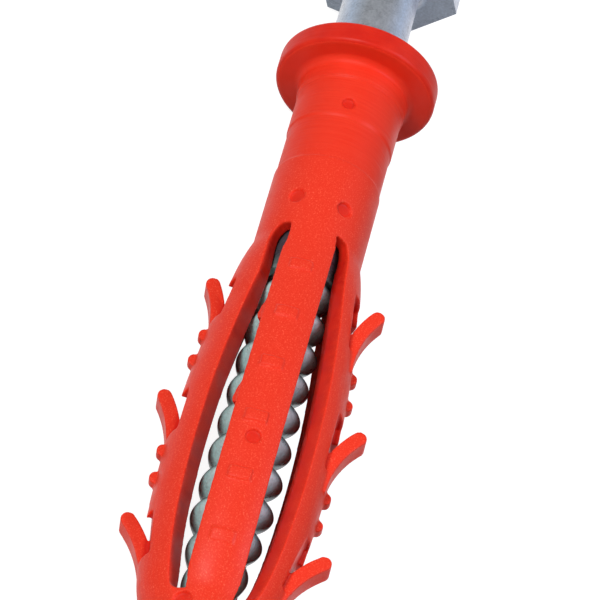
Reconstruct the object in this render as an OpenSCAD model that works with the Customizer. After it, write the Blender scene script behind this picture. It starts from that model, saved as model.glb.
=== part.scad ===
// Nylon frame plug with its hexagon head screw, lying on its side with the legs spread.
// X runs along the plug's axis towards its tip, Z is up, and the origin is the centre of
// the collar's underside. All sizes are in millimetres and all angles in degrees.

/* [Collar] */
// Diameter of the collar
collar_d = 15.2; // [13:0.1:18]
// Thickness of the collar
collar_t = 2.4; // [2:0.1:4]
// Radius of the collar's rounded rim
collar_rim_r = 0.8; // [0.3:0.1:0.9]
// Radius of the fillet between the collar and the neck
collar_fillet_r = 0.7; // [0.3:0.1:1.2]

/* [Sleeve] */
// Diameter of the sleeve and of the hole it goes into
sleeve_d = 10; // [9:0.1:11]
// Diameter of the neck ring under the collar
neck_d = 10.3; // [10:0.1:11.5]
// Length of the neck ring
neck_l = 2; // [1.5:0.1:3]
// Diameter of the two bands between the neck ring and the plain sleeve
band_d = 9.86; // [9:0.02:11]
// Length of the upper band
upper_band_l = 4.55; // [3:0.05:6]
// Length of the lower band
lower_band_l = 4.95; // [3:0.05:6]
// Step in diameter from the upper band to the lower band
band_step = 0.12; // [0.04:0.02:0.3]
// Length of the plug from the top of the collar to the tip
plug_l = 70; // [66:1:90]
// Running clearance round the screw
bore_clearance = 0.2; // [0.1:0.05:0.3]

/* [Slots] */
// Distance from the collar's underside to the slots
slot_from = 19.5; // [17:0.5:22]
// Length of the slots
slot_l = 38.2; // [36:0.2:42]
// Width of the slots
slot_w = 1.25; // [0.8:0.05:1.6]
// Angle of the slots from the middle of the front and back legs
slot_angle = 34; // [30:1:38]

/* [Legs] */
// Wall thickness of the legs
leg_wall = 2.6; // [1.8:0.1:2.8]
// Slope of all four legs as they rise towards the crest of the bow
rise_slope = 8; // [6:0.2:9]
// Length over which the front and back legs bend outwards
front_lead_l = 3.5; // [2.5:0.1:4.5]
// Slope of the front and back legs past the crest
front_crest_slope = 5.5; // [4:0.5:7]
// Steepest slope of the front and back legs near the tip
front_fall_slope = 17; // [14:0.5:20]
// Length of the shoulder between those two slopes
front_shoulder_l = 5.5; // [4.5:0.1:7]
// Length over which the front and back legs bend back into the tip
front_tail_l = 2.6; // [2:0.1:3.5]
// Steepest slope of the side legs where they leave the sleeve
side_lead_slope = 17; // [12:0.5:20]
// Length over which the side legs bend outwards
side_lead_l = 2.2; // [1.6:0.1:3]
// Length over which the side legs ease to the common slope
side_ease_l = 2.4; // [2:0.1:3]
// Slope of the side legs past the crest
side_crest_slope = 4; // [3:0.5:6]
// Slope of the side legs where the last shoulder begins
side_shoulder_slope = 10; // [8:0.5:12]
// Length of the side legs' gentle fall to that shoulder
side_gentle_l = 4.7; // [4:0.1:6]
// Steepest slope of the side legs near the tip
side_fall_slope = 24; // [20:0.5:25]
// Length of the side legs' last shoulder
side_shoulder_l = 1.6; // [1.2:0.1:2.4]
// Length of the side legs' steep fall
side_fall_l = 0.9; // [0.6:0.1:1.4]
// Length over which the side legs bend back into the tip
side_tail_l = 2.4; // [2.3:0.1:3]
// Distance that the side legs' bow runs on past the slots
side_run_on = 1.6; // [1.2:0.1:2]

/* [Fingers] */
// Number of barb fingers on each side leg
finger_count = 3; // [1:1:3]
// Distance from the collar's underside to the root wall of the first finger's pocket
finger_first = 29.4; // [28.5:0.1:30]
// Spacing of the fingers
finger_pitch = 12.5; // [11.5:0.1:12.8]
// Thickness of a finger
finger_t = 1.3; // [1:0.1:1.6]
// Width of a finger
finger_w = 2.2; // [1.8:0.1:2.6]
// Distance of a finger's middle from the middle of its leg
finger_offset = 0.75; // [0.4:0.05:1]
// Radius of a finger's curve
finger_curve_r = 8.6; // [7:0.2:12]
// Length over which a finger grows out of its leg past the pocket
finger_root_l = 2; // [1:0.1:2.4]
// Depth of a finger's outer side below the leg's surface where it starts
finger_root_depth = 0.1; // [0.05:0.05:0.4]
// Angle of a finger to its leg at the end
finger_end_angle = 40; // [34:1:50]
// Depth of the pocket that a finger folds into
pocket_depth = 0.75; // [0.5:0.05:1]
// Clearance beside a finger in its pocket
pocket_clearance = 0.2; // [0.1:0.05:0.3]
// Length by which a pocket is longer than its folded finger
pocket_spare = 1.2; // [0.6:0.1:2]
// Length of the gap across the leg beside a finger's root
gap_l = 4.3; // [3.5:0.1:4.6]
// Radius of the nubs between the fingers
nub_r = 0.5; // [0.5:0.05:0.8]
// Height of the nubs
nub_h = 0.48; // [0.3:0.02:0.5]
// Width of the nubs
nub_w = 1.2; // [0.8:0.1:2.4]
// Distance of the nubs from the leg's middle, on the side away from the fingers
nub_offset = 0.5; // [0:0.05:0.8]
// Distance from a finger's root wall to the first nub
nub_from = 1.6; // [1.2:0.1:2.2]
// Spacing of the two nubs
nub_pitch = 2.8; // [2.2:0.1:3]

/* [Marks] */
// Width of the pads on the front and back legs
pad_w = 2.6; // [1.8:0.1:3.2]
// Length of the pads
pad_l = 1.3; // [0.8:0.1:1.8]
// Height of the pads
pad_h = 0.08; // [0.06:0.02:0.2]
// Distance from the collar's underside to the first pad
pad_first = 24.4; // [23.5:0.1:25.5]
// Spacing of the pads
pad_pitch = 5.74; // [5:0.02:6]
// Number of pads on each leg
pad_count = 6; // [1:1:6]
// Length of the two web stubs on one edge of the front and back legs
stub_l = 1.7; // [1:0.1:2.4]
// Distance that the web stubs stand out into the slot
stub_out = 0.5; // [0.3:0.05:0.7]
// Depth of the round ejector marks
mark_depth = 0.16; // [0.08:0.02:0.3]
// Diameter of the round mark on the upper band
neck_mark_d = 1.2; // [0.8:0.1:1.6]
// Diameter of the two round marks above the slots
sleeve_mark_d = 1.5; // [1:0.1:2]
// Diameter of the round mark on the front and back legs
leg_mark_d = 1.3; // [0.8:0.1:1.6]
// Diameter of the two round marks at the slots' ends
tip_mark_d = 1.9; // [1.4:0.1:2.2]

/* [Tip] */
// Diameter of the tip's end
tip_end_d = 9; // [8.8:0.1:9.4]
// Length of the tip's taper
tip_taper_l = 6; // [4:0.5:8]

/* [Screw] */
// Diameter of the screw's plain shank
shank_d = 7.1; // [6.5:0.05:7.3]
// Diameter over the thread's crests
thread_d = 7; // [6.4:0.05:7.1]
// Diameter at the thread's valleys
core_d = 4.6; // [4.4:0.05:5.6]
// Pitch of the thread
thread_pitch = 3.3; // [2.8:0.1:4]
// Power that shapes the thread's ridges, rounder as it grows
ridge_power = 1.5; // [1.3:0.1:2]
// Angle round the axis at which the thread starts
thread_start = 98; // [0:1:359]
// Length of the plain shank under the head
plain_l = 37.2; // [34:0.2:42]
// Length over which the thread tapers at the screw's point
point_l = 6; // [4:0.5:8]
// Diameter at the end of the point
point_d = 4.2; // [3:0.1:5]
// Distance that a seated screw stands out past the plug's tip
point_stand_out = 1; // [0:0.5:4]
// Distance from the collar up to the underside of the head
head_stand_off = 11.7; // [4:0.1:20]
// Width of the head across its flats
head_af = 13; // [11:0.5:14]
// Height of the head
head_h = 5.5; // [4:0.5:7]
// Radius of the fillet under the head
head_fillet_r = 1; // [0.4:0.1:1.2]
// Turn of the head about the axis
head_turn = -13; // [-30:1:30]

/* [Rest] */
// Angle of the left leg below the horizontal as the plug lies on its barbs and collar
rest_angle = 36.3; // [30:0.1:45]

/* [Hidden] */

$fn = 96;
// Small overlap that joins pieces of one moulding
sink = 0.4;
// Reach of cutters past the surface that they cut
reach = 3;
// Step between the runs of a leg, too small to see
hair = 0.012;
// Overlap of neighbouring runs of a leg
run_lap = 0.2;

plug_red = [0.93, 0.19, 0.11];
zinc_grey = [0.6, 0.65, 0.66];

sleeve_r = sleeve_d / 2;
bore_r = shank_d / 2 + bore_clearance;
body_l = plug_l - collar_t;
slot_to = slot_from + slot_l;
upper_band_from = neck_l;
lower_band_from = upper_band_from + upper_band_l;
plain_sleeve_from = lower_band_from + lower_band_l;
neck_mark_at = lower_band_from - 0.6 * neck_mark_d;
sleeve_mark_at = slot_from - 1.5 * sleeve_mark_d;
tip_mark_at = slot_to + 1.4 * tip_mark_d;
side_end = slot_to + side_run_on;

// Bows of the legs. A bow is a list of stations, each the distance along the axis and the
// slope of the leg there. Between two stations the leg is one arc or one straight run.
// The straight run's length is worked out so that the leg comes back to the sleeve's radius.

// Rise over a list of stations
function bow_rise(k, i = 0) =
    i >= len(k) - 1 ? 0 : (k[i + 1][0] - k[i][0]) * tan((k[i][1] + k[i + 1][1]) / 2) + bow_rise(k, i + 1);

// Full list of stations, from the ones before the straight run and the ones after the crest
function bow(lead, fall) =
    let (last = lead[len(lead) - 1])
    let (crest = fall[0])
    let (gap = crest[0] - last[0])
    let (mean = tan((last[1] + crest[1]) / 2))
    let (run = -(bow_rise(lead) + bow_rise(fall) + gap * mean) / (tan(last[1]) - mean))
    concat(lead, [[last[0] + run, last[1]]], fall);

front_bow = bow(
    [[slot_from, 0], [slot_from + front_lead_l, rise_slope]],
    [
        [slot_to - front_tail_l - front_shoulder_l, -front_crest_slope],
        [slot_to - front_tail_l, -front_fall_slope],
        [slot_to, 0]
    ]
);

side_tail_at = side_end - side_tail_l;
side_fall_at = side_tail_at - side_fall_l;
side_shoulder_at = side_fall_at - side_shoulder_l;
side_bow = bow(
    [
        [slot_from, 0],
        [slot_from + side_lead_l, side_lead_slope],
        [slot_from + side_lead_l + side_ease_l, rise_slope]
    ],
    [
        [side_shoulder_at - side_gentle_l, -side_crest_slope],
        [side_shoulder_at, -side_shoulder_slope],
        [side_fall_at, -side_fall_slope],
        [side_tail_at, -side_fall_slope],
        [side_end, 0]
    ]
);

// Number of the run that holds station z
function run_at(k, z, i = 0) = i >= len(k) - 2 || z < k[i + 1][0] ? i : run_at(k, z, i + 1);

// Slope at station z: its sine changes evenly along an arc
function slope_at(k, z) =
    let (i = run_at(k, z))
    let (share = (z - k[i][0]) / (k[i + 1][0] - k[i][0]))
    asin(sin(k[i][1]) * (1 - share) + sin(k[i + 1][1]) * share);

// Height of the bow at station z
function height_at(k, z) =
    let (i = run_at(k, z))
    bow_rise([for (j = [0 : i]) k[j]]) + (z - k[i][0]) * tan((k[i][1] + slope_at(k, z)) / 2);

// Section of a leg: the part of the sleeve's ring between two slots, a hair inside its surface
module leg_section(half_angle, slim) {
    apex = (slot_w / 2 + slim) / sin(half_angle);
    side = 2 * sleeve_r;
    intersection() {
        difference() {
            circle(sleeve_r - hair - slim);
            circle(sleeve_r - leg_wall + slim);
        }
        polygon([
            [apex, 0],
            [apex + side * cos(half_angle), side * sin(half_angle)],
            [side * 2, side * sin(half_angle)],
            [side * 2, -side * sin(half_angle)],
            [apex + side * cos(half_angle), -side * sin(half_angle)]
        ]);
    }
}

// Sweeps a leg's section along a bow, one run after another. Every second run is a hair
// slimmer and reaches into both of its neighbours, so that the runs join as overlapping solids.
module sweep_bow(k, half_angle) {
    for (i = [0 : len(k) - 2]) {
        slim = i % 2 * hair;
        lap = i % 2 * run_lap;
        from = k[i];
        to = k[i + 1];
        translate([height_at(k, from[0]), 0, from[0]])
            if (from[1] == to[1]) {
                rotate([0, from[1], 0])
                    translate([0, 0, -lap])
                        linear_extrude((to[0] - from[0]) / cos(from[1]) + 2 * lap)
                            leg_section(half_angle, slim);
            } else {
                r = (to[0] - from[0]) / (sin(to[1]) - sin(from[1]));
                turn = abs(to[1] - from[1]);
                lap_angle = lap / abs(r) * 180 / PI;
                rotate([0, from[1], 0])
                    translate([r, 0, 0])
                        rotate([90, 0, 0])
                            rotate([0, 0, r > 0 ? 180 - turn - lap_angle : -lap_angle])
                                rotate_extrude(angle = turn + 2 * lap_angle)
                                    translate([abs(r), 0])
                                        mirror([r > 0 ? 1 : 0, 0]) leg_section(half_angle, slim);
            }
    }
}

// Puts a piece on a leg's outer surface at station z, with x outwards and z along the leg
module on_leg(k, z) {
    translate([sleeve_r + height_at(k, z), 0, z])
        rotate([0, slope_at(k, z), 0]) children();
}

// Thickens an outline on the leg's middle plane. The outline's x points back to the collar
// and its y points outwards.
module across_leg(width) {
    rotate([0, 90, -90])
        linear_extrude(width, center = true) children();
}

// Outline of a finger: an arc that grows out of the leg and flares outwards to a round end
module finger_outline() {
    inner_r = finger_curve_r - finger_t / 2;
    far = 2 * finger_curve_r;
    end = [sin(finger_end_angle), -cos(finger_end_angle)];
    translate([-finger_root_l, inner_r - finger_root_depth]) {
        intersection() {
            difference() {
                circle(inner_r + finger_t);
                circle(inner_r);
            }
            polygon([[0, 0], [0, -far], far * end]);
        }
        translate(finger_curve_r * end) circle(finger_t / 2, $fn = 48);
    }
}

// Pocket at a finger's root: a lane as long as the folded finger, open on the finger's side
// of the leg, and a shorter gap across the rest of the leg
module pocket() {
    folded_l = finger_curve_r * finger_end_angle * PI / 180 + finger_t / 2;
    lane_l = folded_l - finger_root_l + pocket_spare;
    edge = finger_offset - finger_w / 2 - pocket_clearance;
    translate([-pocket_depth, edge, -lane_l]) cube([pocket_depth + reach, reach - edge, lane_l]);
    translate([-pocket_depth, -reach, -gap_l]) cube([pocket_depth + reach, reach + edge + sink, gap_l]);
}

// One side leg with its fingers, pockets and nubs, pointing along x
module side_leg() {
    difference() {
        sweep_bow(side_bow, 90 - slot_angle);
        for (i = [0 : finger_count - 1])
            on_leg(side_bow, finger_first + i * finger_pitch) pocket();
    }
    for (i = [0 : finger_count - 1])
        on_leg(side_bow, finger_first + i * finger_pitch)
            translate([0, finger_offset, 0]) across_leg(finger_w) finger_outline();
    for (i = [0 : finger_count - 2], j = [0 : 1])
        on_leg(side_bow, finger_first + i * finger_pitch + nub_from + j * nub_pitch)
            translate([nub_h - nub_r, -nub_offset, 0])
                rotate([90, 0, 0]) cylinder(r = nub_r, h = nub_w, center = true, $fn = 48);
}

// Stations on a front or back leg of the round mark and of the web stubs, set by the pads
leg_mark_at = pad_first + 3.4 * pad_pitch;
stub_stations = [pad_first + 1.05 * pad_pitch, pad_first + 2.8 * pad_pitch];

// Stub of a web that once joined two legs, on the edge of a leg that points along x
module web_stub() {
    translate([-sleeve_r, 0, 0])
        rotate([0, 0, slot_angle])
            translate([sleeve_r - leg_wall / 2 - sink, -slot_w / 2 - sink, -stub_l / 2])
                cube([2 * sink, sink + stub_out, stub_l]);
}

// One front or back leg with its pads, its web stubs and its round mark, pointing along x
module front_leg() {
    difference() {
        sweep_bow(front_bow, slot_angle);
        on_leg(front_bow, leg_mark_at)
            translate([-mark_depth, 0, 0])
                rotate([0, 90, 0]) cylinder(d = leg_mark_d, h = reach, $fn = 48);
    }
    for (i = [0 : pad_count - 1])
        on_leg(front_bow, pad_first + i * pad_pitch) pad();
    for (z = stub_stations)
        on_leg(front_bow, z) web_stub();
}

// Pad that follows the round of the leg under it
module pad() {
    intersection() {
        translate([-sleeve_r, 0, -pad_l / 2]) cylinder(r = sleeve_r + pad_h, h = pad_l);
        translate([-sink, -pad_w / 2, -pad_l]) cube([2 * sink, pad_w, 2 * pad_l]);
    }
}

// Collar, neck, bands and sleeve as one turned solid with the slots' round upper ends
module upper_body() {
    neck_r = neck_d / 2;
    rim_x = collar_d / 2 - collar_rim_r;
    sleeve_end = slot_from + slot_w / 2;
    difference() {
        union() {
            rotate_extrude() {
                difference() {
                    translate([0, -collar_t]) square([collar_d / 2, collar_t]);
                    difference() {
                        translate([rim_x, -collar_t - sink]) square([reach, collar_rim_r + sink]);
                        translate([rim_x, -collar_t + collar_rim_r]) circle(collar_rim_r);
                    }
                }
                difference() {
                    translate([neck_r - sink, -sink]) square([collar_fillet_r + sink, collar_fillet_r + sink]);
                    translate([neck_r + collar_fillet_r, collar_fillet_r]) circle(collar_fillet_r);
                }
            }
            translate([0, 0, -sink]) cylinder(d = neck_d, h = neck_l + sink);
            translate([0, 0, upper_band_from - sink]) cylinder(d = band_d + band_step, h = upper_band_l + sink);
            translate([0, 0, lower_band_from - sink]) cylinder(d = band_d, h = lower_band_l + sink);
            translate([0, 0, plain_sleeve_from]) cylinder(r = sleeve_r, h = sleeve_end - plain_sleeve_from);
        }
        slot_ends(sleeve_end);
    }
}

// Round ends of the four slots at station z
module slot_ends(z) {
    for (a = [90 - slot_angle, 90 + slot_angle])
        translate([0, 0, z])
            rotate([0, 90, a]) cylinder(d = slot_w, h = sleeve_d + reach, center = true, $fn = 48);
}

// Closed ring and taper past the slots
module tip() {
    ring_from = slot_to - slot_w / 2;
    taper_from = body_l - tip_taper_l;
    difference() {
        union() {
            translate([0, 0, ring_from]) cylinder(r = sleeve_r, h = taper_from - ring_from);
            translate([0, 0, taper_from]) cylinder(d1 = sleeve_d, d2 = tip_end_d, h = tip_taper_l);
        }
        slot_ends(ring_from);
    }
}

// Shallow round marks on the neck band, above the slots and at the slots' ends
module round_marks() {
    round_mark(0, band_d / 2 + band_step / 2, neck_mark_at, neck_mark_d);
    for (a = [-26, 26])
        round_mark(a, sleeve_r, sleeve_mark_at, sleeve_mark_d);
    for (a = [-slot_angle, slot_angle])
        round_mark(a, sleeve_r, tip_mark_at, tip_mark_d);
}

// Cutter for a round mark at an angle from the front, on a surface at radius r and station z
module round_mark(a, r, z, d) {
    rotate([0, 0, a])
        translate([0, r - mark_depth, z])
            rotate([-90, 0, 0]) cylinder(d = d, h = reach, $fn = 48);
}

// The whole one-piece moulding, standing on its axis with the front leg towards y
module nylon_plug_upright() {
    mouth_r = shank_d / 2 + head_fillet_r + bore_clearance;
    difference() {
        union() {
            upper_body();
            tip();
            for (a = [0, 180]) rotate([0, 0, a]) side_leg();
            for (a = [90, 270]) rotate([0, 0, a]) front_leg();
        }
        round_marks();
        translate([0, 0, -collar_t - sink]) cylinder(r = bore_r, h = plug_l + 2 * sink);
        translate([0, 0, -collar_t]) rotate_extrude() mouth_outline(mouth_r);
    }
}

// Countersink at the mouth of the bore, which clears the fillet under the screw's head
module mouth_outline(mouth_r) {
    depth = mouth_r - bore_r;
    polygon([
        [0, -sink],
        [mouth_r, -sink],
        [mouth_r, 0],
        [bore_r, depth],
        [bore_r - sink, depth],
        [0, depth]
    ]);
}

// Stations of the screw along the plug's axis
head_at = -collar_t - head_stand_off;
thread_from = head_at + plain_l;
screw_end = body_l - head_stand_off + point_stand_out;

// Hexagon head with chamfered corners and the fillet under it
module screw_head() {
    corner_r = head_af / 2 / cos(30);
    chamfer = corner_r - head_af / 2;
    translate([0, 0, head_at]) {
        intersection() {
            translate([0, 0, -head_h]) rotate([0, 0, head_turn]) cylinder(r = corner_r, h = head_h, $fn = 6);
            rotate_extrude()
                polygon([
                    [0, 0],
                    [corner_r + sink, 0],
                    [corner_r + sink, -head_h + chamfer],
                    [head_af / 2 - chamfer, -head_h],
                    [0, -head_h]
                ]);
        }
        rotate_extrude()
            difference() {
                translate([0, -sink]) square([shank_d / 2 + head_fillet_r, head_fillet_r + sink]);
                translate([shank_d / 2 + head_fillet_r, head_fillet_r]) circle(head_fillet_r);
            }
    }
}

// Rounded ridges of the thread and the core between them, as rings of points
thread_steps = 32;
thread_rings_per_pitch = 10;
ridge_h = (thread_d - core_d) / 2;
ring_gap = thread_pitch / thread_rings_per_pitch;
ring_count = ceil((screw_end - thread_from) / ring_gap);

// Place between two valleys, from 0 to 1, at angle a and station z
function thread_phase(a, z) =
    let (turns = (z - thread_from) / thread_pitch - (a - thread_start) / 360)
    turns - floor(turns);

// Share of the full size left at station z near the point
function point_share(z) =
    let (share = max(0, (z - screw_end + point_l) / point_l))
    1 - (1 - point_d / thread_d) * share * share;

// Radius of the threaded end at angle a and station z
function thread_r(a, z) =
    let (p = abs(2 * thread_phase(a, z) - 1))
    (core_d / 2 + ridge_h * (1 - pow(p, ridge_power))) * point_share(z);

module thread() {
    stations = [for (i = [0 : ring_count]) min(thread_from + i * ring_gap, screw_end)];
    points = [
        for (z = concat([thread_from - sink], stations), i = [0 : thread_steps - 1])
            let (a = 360 * i / thread_steps)
            let (r = z < thread_from ? core_d / 2 : thread_r(a, z))
            [r * cos(a), r * sin(a), z]
    ];
    rings = len(points) / thread_steps;
    sides = [
        for (j = [0 : rings - 2], i = [0 : thread_steps - 1])
            let (n = (i + 1) % thread_steps)
            let (a = j * thread_steps)
            let (b = a + thread_steps)
            each [[a + i, a + n, b + n], [a + i, b + n, b + i]]
    ];
    first = [for (i = [0 : thread_steps - 1]) i];
    last = [for (i = [0 : thread_steps - 1]) rings * thread_steps - 1 - i];
    polyhedron(points, concat(sides, [first, last]));
}

// The whole screw, standing on its axis
module hex_screw_upright() {
    screw_head();
    translate([0, 0, head_at]) cylinder(d = shank_d, h = plain_l);
    thread();
}

// Lays a piece down from its upright place to the way it rests
module lie_down() {
    rotate([90 + rest_angle, 0, 0]) rotate([0, 90, 0]) children();
}

module nylon_plug() {
    color(plug_red) lie_down() nylon_plug_upright();
}

module hex_screw() {
    color(zinc_grey) lie_down() hex_screw_upright();
}

nylon_plug();
hex_screw();
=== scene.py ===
"""Nylon frame plug with its hexagon head screw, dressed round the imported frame.

Every piece is modelled upright in millimetres, with z along the plug's axis towards its tip, the
right leg along x and the front leg along y. It is then laid down to the way the plug rests and
scaled to metres.
"""

import logging
import math
from dataclasses import dataclass, field
from enum import Enum

import bmesh
import bpy
from bmesh.types import BMEdge, BMesh, BMVert
from mathutils import Euler, Matrix, Vector


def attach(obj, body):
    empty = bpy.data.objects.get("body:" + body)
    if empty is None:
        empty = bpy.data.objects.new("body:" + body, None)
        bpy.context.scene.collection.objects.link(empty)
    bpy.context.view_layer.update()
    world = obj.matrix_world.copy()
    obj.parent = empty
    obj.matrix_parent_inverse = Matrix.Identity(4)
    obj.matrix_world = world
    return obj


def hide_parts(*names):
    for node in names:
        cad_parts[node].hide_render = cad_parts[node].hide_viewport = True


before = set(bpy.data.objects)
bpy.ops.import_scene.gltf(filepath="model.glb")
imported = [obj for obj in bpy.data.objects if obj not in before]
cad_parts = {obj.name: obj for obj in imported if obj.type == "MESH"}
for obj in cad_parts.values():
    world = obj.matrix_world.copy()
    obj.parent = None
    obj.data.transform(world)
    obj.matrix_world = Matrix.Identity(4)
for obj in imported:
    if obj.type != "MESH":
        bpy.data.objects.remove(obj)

LOG = logging.getLogger("frame_plug")
# Metres in a millimetre
MM = 0.001
# Points that lie nearer to each other than this, in millimetres, are merged
MERGE = 0.0005
# How far a cutter reaches past what it cuts, in millimetres
REACH = 4.0
# How far the plug is turned about its axis where it lies, in degrees
REST_ANGLE = 36.3
# The sleeve's radius and the stations between which it is slotted, in millimetres
SLEEVE_R = 5.0
SLOT_FROM = 19.5
SLOT_TO = 57.7
# Turns the plane of an outline so that it faces along x
OUTWARDS = Matrix(((0, 0, 1), (1, 0, 0), (0, 1, 0))).to_4x4()


class Cut(Enum):
    """The boolean operations that shape a solid."""

    AWAY = "DIFFERENCE"
    JOIN = "UNION"
    COMMON = "INTERSECT"


class Socket(Enum):
    """The kinds of socket that the shared node groups have."""

    NUMBER = "NodeSocketFloat"
    VECTOR = "NodeSocketVector"


# Helpers that shape meshes


def lying() -> Matrix:
    """Return the matrix that lays an upright piece down and scales it to metres."""
    roll = Matrix.Rotation(math.radians(90 + REST_ANGLE), 4, "X")
    down = Matrix.Rotation(math.radians(90), 4, "Y")
    return Matrix.Scale(MM, 4) @ roll @ down


def turned(angle: float, axis: str = "Z") -> Matrix:
    """Return a turn about one of the axes.

    Args:
        angle: The turn in degrees.
        axis: The axis to turn about.

    Returns:
        The rotation matrix.
    """
    return Matrix.Rotation(math.radians(angle), 4, axis)


def arc(centre: Vector, radius: float, first: float, last: float, steps: int) -> list[Vector]:
    """Return points along an arc in the x and z plane.

    Args:
        centre: The arc's centre.
        radius: The arc's radius.
        first: The first angle in degrees, from x towards z.
        last: The last angle in degrees.
        steps: How many straight pieces the arc has.

    Returns:
        The points, with both ends.
    """
    angles = [math.radians(first + (last - first) * i / steps) for i in range(steps + 1)]
    return [centre + radius * Vector((math.cos(a), 0, math.sin(a))) for a in angles]


def placed(shapes: list[BMesh], matrix: Matrix) -> list[BMesh]:
    """Move several shapes by a matrix.

    Args:
        shapes: The shapes to move.
        matrix: The move.

    Returns:
        The same shapes.
    """
    for shape in shapes:
        bmesh.ops.transform(shape, matrix=matrix, verts=shape.verts)
    return shapes


def joined(name: str, shapes: list[BMesh]) -> bpy.types.Object:
    """Join several shapes into one new object and free them.

    Args:
        name: The object's name.
        shapes: The shapes to join.

    Returns:
        The new object.
    """
    whole = bmesh.new()
    for shape in shapes:
        mesh = bpy.data.meshes.new(name)
        shape.to_mesh(mesh)
        shape.free()
        whole.from_mesh(mesh)
        bpy.data.meshes.remove(mesh)
    mesh = bpy.data.meshes.new(name)
    whole.to_mesh(mesh)
    whole.free()
    piece = bpy.data.objects.new(name, mesh)
    bpy.context.scene.collection.objects.link(piece)
    return piece


def settle(piece: bpy.types.Object) -> None:
    """Apply every modifier of a piece to its mesh.

    Args:
        piece: The piece whose modifiers are applied.
    """
    bpy.context.view_layer.update()
    graph = bpy.context.evaluated_depsgraph_get()
    mesh = bpy.data.meshes.new_from_object(piece.evaluated_get(graph))
    old = piece.data
    piece.modifiers.clear()
    piece.data = mesh
    bpy.data.meshes.remove(old)


def carve(piece: bpy.types.Object, tools: list[BMesh], cut: Cut) -> None:
    """Shape a piece with other solids, which are freed.

    Args:
        piece: The piece to shape.
        tools: The solids to shape it with, taken together.
        cut: What is done with the piece and the tools.
    """
    tool = joined("tool", tools)
    boolean = piece.modifiers.new("carve", "BOOLEAN")
    boolean.operation = cut.value
    boolean.object = tool
    boolean.solver = "EXACT"
    boolean.use_self = True
    settle(piece)
    bpy.data.objects.remove(tool)


def lathe(profile: list[Vector], closed: bool, steps: int = 144) -> BMesh:
    """Spin a profile about the upright axis.

    Args:
        profile: Points in the x and z plane.
        closed: Whether the profile is a loop, as round a bore.
        steps: How many steps the full turn has.

    Returns:
        The turned solid.
    """
    shape = bmesh.new()
    verts = [shape.verts.new(point) for point in profile]
    edges = [shape.edges.new(pair) for pair in zip(verts, verts[1:])]
    if closed:
        edges.append(shape.edges.new((verts[-1], verts[0])))
    bmesh.ops.spin(
        shape, geom=verts + edges, cent=(0, 0, 0), axis=(0, 0, 1), angle=math.tau, steps=steps, use_merge=True
    )
    bmesh.ops.remove_doubles(shape, verts=shape.verts, dist=MERGE)
    bmesh.ops.recalc_face_normals(shape, faces=shape.faces)
    return shape


def sweep(outline: list[Vector], places: list[Matrix]) -> BMesh:
    """Push a flat outline through a row of places.

    Args:
        outline: The outline's points in the x and y plane.
        places: Where the outline stands at each step.

    Returns:
        The swept solid, with both ends closed.
    """
    shape = bmesh.new()
    verts = [shape.verts.new(point) for point in outline]
    first = [shape.edges.new(pair) for pair in zip(verts, verts[1:] + verts[:1])]
    bmesh.ops.transform(shape, matrix=places[0], verts=shape.verts)
    rim = first
    for last, place in zip(places, places[1:]):
        grown = bmesh.ops.extrude_edge_only(shape, edges=rim)["geom"]
        verts = [part for part in grown if isinstance(part, BMVert)]
        edges = [part for part in grown if isinstance(part, BMEdge)]
        rim = [edge for edge in edges if all(vert in verts for vert in edge.verts)]
        bmesh.ops.transform(shape, matrix=place @ last.inverted(), verts=verts)
    for end in (first, rim):
        bmesh.ops.contextual_create(shape, geom=end)
    bmesh.ops.recalc_face_normals(shape, faces=shape.faces)
    return shape


def rod(radius: float, length: float, place: Matrix, sides: int = 48) -> BMesh:
    """Make a straight round rod.

    Args:
        radius: The rod's radius.
        length: The rod's length.
        place: Where its middle stands. Its length runs along the place's z.
        sides: How many sides it has.

    Returns:
        The rod.
    """
    shape = bmesh.new()
    bmesh.ops.create_cone(
        shape, cap_ends=True, segments=sides, radius1=radius, radius2=radius, depth=length, matrix=place
    )
    return shape


def block(low: Vector, high: Vector, place: Matrix) -> BMesh:
    """Make a block between two corners.

    Args:
        low: The lowest corner.
        high: The highest corner.
        place: Where the block's own frame stands.

    Returns:
        The block.
    """
    shape = bmesh.new()
    middle = Matrix.Translation((low + high) / 2)
    bmesh.ops.create_cube(shape, size=1, matrix=place @ middle @ Matrix.Diagonal((*(high - low), 1)))
    return shape


def plate(outline: list[tuple[float, float]], place: Matrix, low: float, high: float) -> BMesh:
    """Make a plate from an outline that faces outwards.

    Args:
        outline: The outline's corners, each with how far it stands across and how far along.
        place: Where the plate's own frame stands. The plate faces along the place's x.
        low: Where the plate starts along that x.
        high: Where it ends.

    Returns:
        The plate.
    """
    corners = [Vector((across, along, 0)) for across, along in outline]
    return sweep(corners, [place @ Matrix.Translation((x, 0, 0)) @ OUTWARDS for x in (low, high)])


def soften(piece: bpy.types.Object, grain: float, passes: int, most: int) -> None:
    """Round every edge of a piece a little, as on a moulding, and thin its mesh.

    Args:
        piece: The piece to soften.
        grain: The size of the grid that the piece is made on again.
        passes: How many times the surface is smoothed.
        most: The most triangles that the piece may keep.
    """
    remesh = piece.modifiers.new("remesh", "REMESH")
    remesh.mode = "VOXEL"
    remesh.voxel_size = grain
    smooth = piece.modifiers.new("smooth", "SMOOTH")
    smooth.factor = 0.5
    smooth.iterations = passes
    settle(piece)
    thin = piece.modifiers.new("thin", "DECIMATE")
    thin.ratio = min(1.0, most / (2 * len(piece.data.polygons)))
    settle(piece)


# The one-piece nylon plug


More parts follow.
